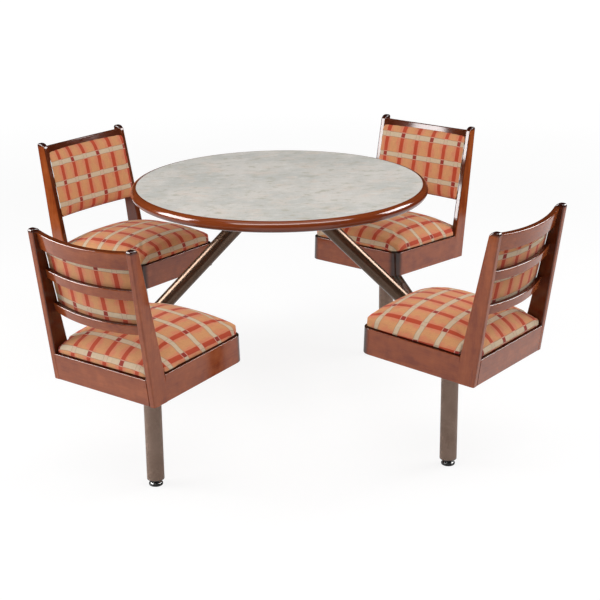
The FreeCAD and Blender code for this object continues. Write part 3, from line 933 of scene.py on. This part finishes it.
def upholster(form, name, seat, cloth, crossing, node, look):
    """One seat's copy of an upholstered form, with its own place on the plaid."""
    mesh = form.data.copy()
    points = points_of(mesh)
    u, v = cloth(points, seat)
    places = np.stack([u - crossing[0], v - crossing[1], np.zeros(len(u))], 1)
    layer = mesh.attributes.new("cloth", "FLOAT_VECTOR", "POINT")
    layer.data.foreach_set("vector", places.ravel())
    mesh.transform(seat_matrix(seat))
    mesh.materials.clear()
    mesh.materials.append(look)
    mesh.polygons.foreach_set("use_smooth", [True] * len(mesh.polygons))
    piece = object_with(name, mesh)
    piece.modifiers.new("fine", "SUBSURF").render_levels = 1
    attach(piece, f"{seat}_seat")
    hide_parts(node)
    return piece


def make_upholstery():
    """Cushions and back pads of all four seats."""
    look = fabric()
    cushion = cushion_form()
    pad = pad_form()
    for seat in POSTS:
        upholster(cushion, f"{seat}_cushion", seat, cushion_cloth, CUSHION_CROSSING[seat],
                  f"{seat}_seat_cushion", look)
        upholster(pad, f"{seat}_pad", seat, pad_cloth, PAD_CROSSING[seat],
                  f"{seat}_back_pad", look)
    bpy.data.objects.remove(cushion)
    bpy.data.objects.remove(pad)


# --- Levelling glides --------------------------------------------------------------
GLIDE_TURNS = 48
# Profiles from the bottom up, as radius and height.
GLIDE_PAD = [
    (0.0165, 0.0), (0.0190, 0.0003), (0.0200, 0.0012), (0.0205, 0.0025), (0.0205, 0.0050),
    (0.0202, 0.0062), (0.0192, 0.0070), (0.0178, 0.0071), (0.0172, 0.0066),
]
GLIDE_DOME = [
    (0.0171, 0.0060), (0.0173, 0.0072), (0.0168, 0.0080), (0.0150, 0.0092), (0.0120, 0.0106),
    (0.0095, 0.0116), (0.0085, 0.0120), (0.0079, 0.0123), (0.0078, 0.0129), (0.0074, 0.0133),
    (0.0050, 0.0134), (0.0050, 0.0480),
]


def turned(name, profile, centre, look):
    """Closed solid turned about an upright axis from a list of (radius, height)."""
    form = bmesh.new()
    rings = []
    for radius, height in profile:
        ring = []
        for step in range(GLIDE_TURNS):
            angle = 2 * math.pi * step / GLIDE_TURNS
            x = centre[0] + radius * math.cos(angle)
            y = centre[1] + radius * math.sin(angle)
            ring.append(form.verts.new((x, y, height)))
        rings.append(ring)
    for low, high in zip(rings, rings[1:]):
        for step in range(GLIDE_TURNS):
            after = (step + 1) % GLIDE_TURNS
            form.faces.new((low[step], low[after], high[after], high[step]))
    form.faces.new(reversed(rings[0]))
    form.faces.new(rings[-1])
    piece = object_of(name, form, look)
    faces = piece.data.polygons
    faces.foreach_set("use_smooth", [len(face.vertices) == 4 for face in faces])
    return piece


def make_glides():
    """Black pad and pressed steel dome with its stem, under each post."""
    black = plastic("glide_pad")
    steel = zinc()
    for seat, centre in POSTS.items():
        pad = turned(f"{seat}_glide_pad", GLIDE_PAD, centre, black)
        dome = turned(f"{seat}_glide_dome", GLIDE_DOME, centre, steel)
        for piece in (pad, dome):
            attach(piece, f"{seat}_foot")
            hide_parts(f"{seat}_glide")


# --- Finishes of the carried-over nodes ------------------------------------------------
# The grain of each wooden part is drawn out along one or two axes.
DRAWN_OUT = 0.04
GRAIN = {
    "crest_rail": (DRAWN_OUT, 1.0, 1.0),
    "back_slats": (DRAWN_OUT, 1.0, 1.0),
    "rear_apron": (DRAWN_OUT, 1.0, 1.0),
    "bent_apron": (DRAWN_OUT, DRAWN_OUT, 1.0),
    "stile_left": (1.0, 1.0, DRAWN_OUT),
    "stile_right": (1.0, 1.0, DRAWN_OUT),
}


def finish_nodes():
    """Gives every CAD node that stays its material."""
    coating = bronze("bronze_posts")
    smooth_shaded_coating = bronze("bronze_arms")
    plated = bpy.data.materials["zinc_plate"]
    panel = board()
    dark_nylon = plastic("nylon")
    for node in ("left_arm", "right_arm", "left_rail", "right_rail", "top_plate"):
        give(node, smooth_shaded_coating)
    give("top_screws", plated)
    give("core_board", panel)
    give("laminate_sheet", laminate())
    give("edge_band", edge_wood())
    give("swivel_bushes", dark_nylon)
    give("foot_inserts", dark_nylon)
    for seat in POSTS:
        give(f"{seat}_post", coating)
        give(f"{seat}_swivel_plate", plated)
        give(f"{seat}_seat_board", panel)
        for part, along in GRAIN.items():
            give(f"{seat}_{part}", seat_wood(seat, part.replace("_rail", ""), along))


# --- Studio --------------------------------------------------------------------------
CAMERA_PLACE = (-0.5555, -4.4518, 1.8910)
CAMERA_YAW = -0.1374
CAMERA_PITCH = 0.3249
CAMERA_ROLL = -0.0107
FOCAL_PIXELS = 1498.0
FRAME_PIXELS = 600.0
SENSOR = 36.0
FARTHEST_SEEN = 100.0
# Brightness of the surroundings, as far as they light the object.
AMBIENT = 0.30
FLOOR_RADIUS = 40.0
# The floor's own glow, the share of it that shows, and its shade in gloss under the table.
FLOOR_GLOW_NEAR = 1.08
FLOOR_GLOW_FAR = 1.30
FLOOR_GLOW_SHARE = 0.78
FLOOR_SHADE = 0.35
# Distances from the table's middle over which the floor's glow and shade change.
FLOOR_GLOW_REACH = (2.0, 8.0)
FLOOR_SHADE_REACH = (0.4, 1.1)
FLOOR_SIDES = 64
FLOOR_MARKS = (0.2, 0.8)
FLOOR_DARK = srgb(246, 246, 246)
FLOOR_LIGHT = srgb(252, 252, 252)
FLAG_DARK = srgb(30, 28, 27)
FLAG_LIGHT = srgb(44, 42, 40)
MATT = {"Roughness": 0.9, "Specular_IOR_Level": 0.0}
FLAG_STEPS = 24
# Width over which a lamp's bright front fades, and how far it stands ahead of the lamp.
LAMP_RIM = 0.25
LAMP_FACE_AHEAD = 0.02
# Radius, start and end azimuth in degrees, bottom and top.
FLAGS = {
    "rear_flag": (3.9, 10.0, 170.0, 0.0, 9.0),
    "left_flag": (3.9, 170.0, 220.0, 0.0, 9.0),
    "front_flag": (5.2, 220.0, 305.0, 0.0, 9.0),
    "right_flag": (3.9, 305.0, 370.0, 0.0, 9.0),
    "low_flag": (2.6, -60.0, 240.0, 0.0, 0.50),
}
# Place, target, width, height, brightness and gleam, where a white card's brightness is 1.
LAMPS = {
    "left_softbox": ((-3.4, 0.0, 1.80), (0.0, 0.0, 1.2), 2.1, 2.3, 4.2, 19.0),
    "right_softbox": ((3.5, 0.2, 2.30), (0.0, 0.1, 1.4), 2.2, 1.7, 4.3, 17.0),
    "top_softbox": ((0.1, -1.6, 3.1), (0.0, 0.0, 0.6), 4.2, 1.2, 3.0, 9.0),
}


def make_camera():
    """Camera a little to the left of the table, looking down at it."""
    ahead = Vector((
        -math.sin(CAMERA_YAW) * math.cos(CAMERA_PITCH),
        math.cos(CAMERA_YAW) * math.cos(CAMERA_PITCH),
        -math.sin(CAMERA_PITCH),
    ))
    level = Vector((math.cos(CAMERA_YAW), math.sin(CAMERA_YAW), 0.0))
    up = level.cross(ahead)
    right = level * math.cos(CAMERA_ROLL) + up * math.sin(CAMERA_ROLL)
    top = up * math.cos(CAMERA_ROLL) - level * math.sin(CAMERA_ROLL)
    data = bpy.data.cameras.new("camera")
    data.sensor_width = SENSOR
    data.lens = SENSOR * FOCAL_PIXELS / FRAME_PIXELS
    data.clip_end = FARTHEST_SEEN
    camera = object_with("camera", data)
    turn = Matrix((right, top, -ahead)).transposed().to_4x4()
    camera.matrix_world = Matrix.Translation(CAMERA_PLACE) @ turn
    SCENE.camera = camera


def softbox(name, place, target, width, height, brightness):
    """Rectangular lamp that faces a target, with the same brightness at any size."""
    data = bpy.data.lights.new(name, "AREA")
    data.shape = "RECTANGLE"
    data.size = width
    data.size_y = height
    data.energy = brightness * math.pi * width * height
    lamp = object_with(name, data)
    lamp.location = place
    lamp.rotation_mode = "QUATERNION"
    lamp.rotation_quaternion = (Vector(target) - Vector(place)).to_track_quat("-Z", "Y")
    lamp.visible_camera = False
    lamp.visible_glossy = False
    return lamp


def seen_directly(tree):
    """1 for what the camera sees directly, in a reflection or through something."""
    path = add(tree, "LightPath").outputs
    seen = calc(tree, "MAXIMUM", path["Is Camera Ray"], path["Is Glossy Ray"])
    return calc(tree, "MAXIMUM", seen, path["Is Transmission Ray"])


def make_world():
    """White to look at, and a dim even light on the object."""
    world = bpy.data.worlds.new("studio")
    world.use_nodes = True
    tree = world.node_tree
    background = tree.nodes["Background"]
    background.inputs["Color"].default_value = WHITE
    feed(tree, ramp(tree, seen_directly(tree), 0.0, 1.0, AMBIENT, 1.0), background.inputs["Strength"])
    SCENE.world = world


def make_floor():
    """Wide white floor that keeps the object's soft shadow."""
    made, tree, shader = material("floor", **MATT)
    marks = noise(tree, object_place(tree), scale=1.5, detail=2.0)
    colour = blend_colour(tree, ramp(tree, marks, *FLOOR_MARKS), FLOOR_DARK, FLOOR_LIGHT)
    feed(tree, colour, shader.inputs["Base Color"])
    distance = add(tree, "VectorMath", {0: object_place(tree)}, operation="LENGTH").outputs["Value"]
    strength = ramp(tree, distance, *FLOOR_GLOW_REACH, FLOOR_GLOW_NEAR, FLOOR_GLOW_FAR)
    under = ramp(tree, distance, *FLOOR_SHADE_REACH, FLOOR_SHADE, 0.0)
    in_gloss = add(tree, "LightPath").outputs["Is Glossy Ray"]
    strength = times(tree, strength, minus(tree, 1.0, times(tree, under, in_gloss)))
    glow = add(tree, "Emission", {"Color": WHITE, "Strength": strength})
    share = times(tree, seen_directly(tree), FLOOR_GLOW_SHARE)
    mixed = add(tree, "MixShader", {0: share, 1: shader.outputs[0], 2: glow.outputs[0]})
    feed(tree, mixed.outputs[0], tree.nodes["Material Output"].inputs["Surface"])
    form = bmesh.new()
    bmesh.ops.create_circle(form, cap_ends=True, segments=FLOOR_SIDES, radius=FLOOR_RADIUS)
    floor = object_of("floor", form, made)


def card(name, form, look):
    """Studio card from a bmesh. It shows in reflections only."""
    made = object_of(name, form, look)
    made.visible_camera = False
    made.visible_diffuse = False
    made.visible_transmission = False
    made.visible_shadow = False
    return made


def flag(name, look, radius, start, end, low, high):
    """Upright dark card, bent round the studio from one azimuth to another."""
    form = bmesh.new()
    lower, upper = [], []
    for step in range(FLAG_STEPS + 1):
        angle = math.radians(start + (end - start) * step / FLAG_STEPS)
        place = (radius * math.cos(angle), radius * math.sin(angle))
        lower.append(form.verts.new((*place, low)))
        upper.append(form.verts.new((*place, high)))
    for step in range(FLAG_STEPS):
        form.faces.new((lower[step], lower[step + 1], upper[step + 1], upper[step]))
    card(name, form, look)


def make_flags():
    """Dark cards round the studio."""
    made, tree, shader = material("flag", **MATT)
    cloudy = noise(tree, object_place(tree), scale=2.0, detail=2.0)
    feed(tree, blend_colour(tree, cloudy, FLAG_DARK, FLAG_LIGHT), shader.inputs["Base Color"])
    for name, sizes in FLAGS.items():
        flag(name, made, *sizes)


def lamp_face(name, lamp, width, height, gleam):
    """Bright front of a lamp, as gloss shows it. It fades towards its rim."""
    made, tree, shader = material(name, Base_Color=BLACK, Specular_IOR_Level=0.0)
    x, y, _ = add(tree, "SeparateXYZ", {"Vector": object_place(tree)}).outputs
    half_x = width / 2
    half_y = height / 2
    edge_x = minus(tree, half_x, calc(tree, "ABSOLUTE", x))
    edge_y = minus(tree, half_y, calc(tree, "ABSOLUTE", y))
    strength = ramp(tree, calc(tree, "MINIMUM", edge_x, edge_y), 0.0, LAMP_RIM, 0.0, gleam)
    shader.inputs["Emission Color"].default_value = WHITE
    feed(tree, strength, shader.inputs["Emission Strength"])
    form = bmesh.new()
    corners = [(-half_x, -half_y), (half_x, -half_y), (half_x, half_y), (-half_x, half_y)]
    form.faces.new([form.verts.new((*corner, -LAMP_FACE_AHEAD)) for corner in corners])
    face = card(name, form, made)
    face.rotation_mode = "QUATERNION"
    face.location = lamp.location
    face.rotation_quaternion = lamp.rotation_quaternion


def make_studio():
    """Floor, surroundings and lamps."""
    make_world()
    make_floor()
    make_flags()
    for name, (place, target, width, height, brightness, gleam) in LAMPS.items():
        lamp = softbox(name, place, target, width, height, brightness)
        lamp_face(name + "_face", lamp, width, height, gleam)


make_upholstery()
make_glides()
finish_nodes()
make_studio()
make_camera()

SCENE.view_settings.view_transform = "Standard"
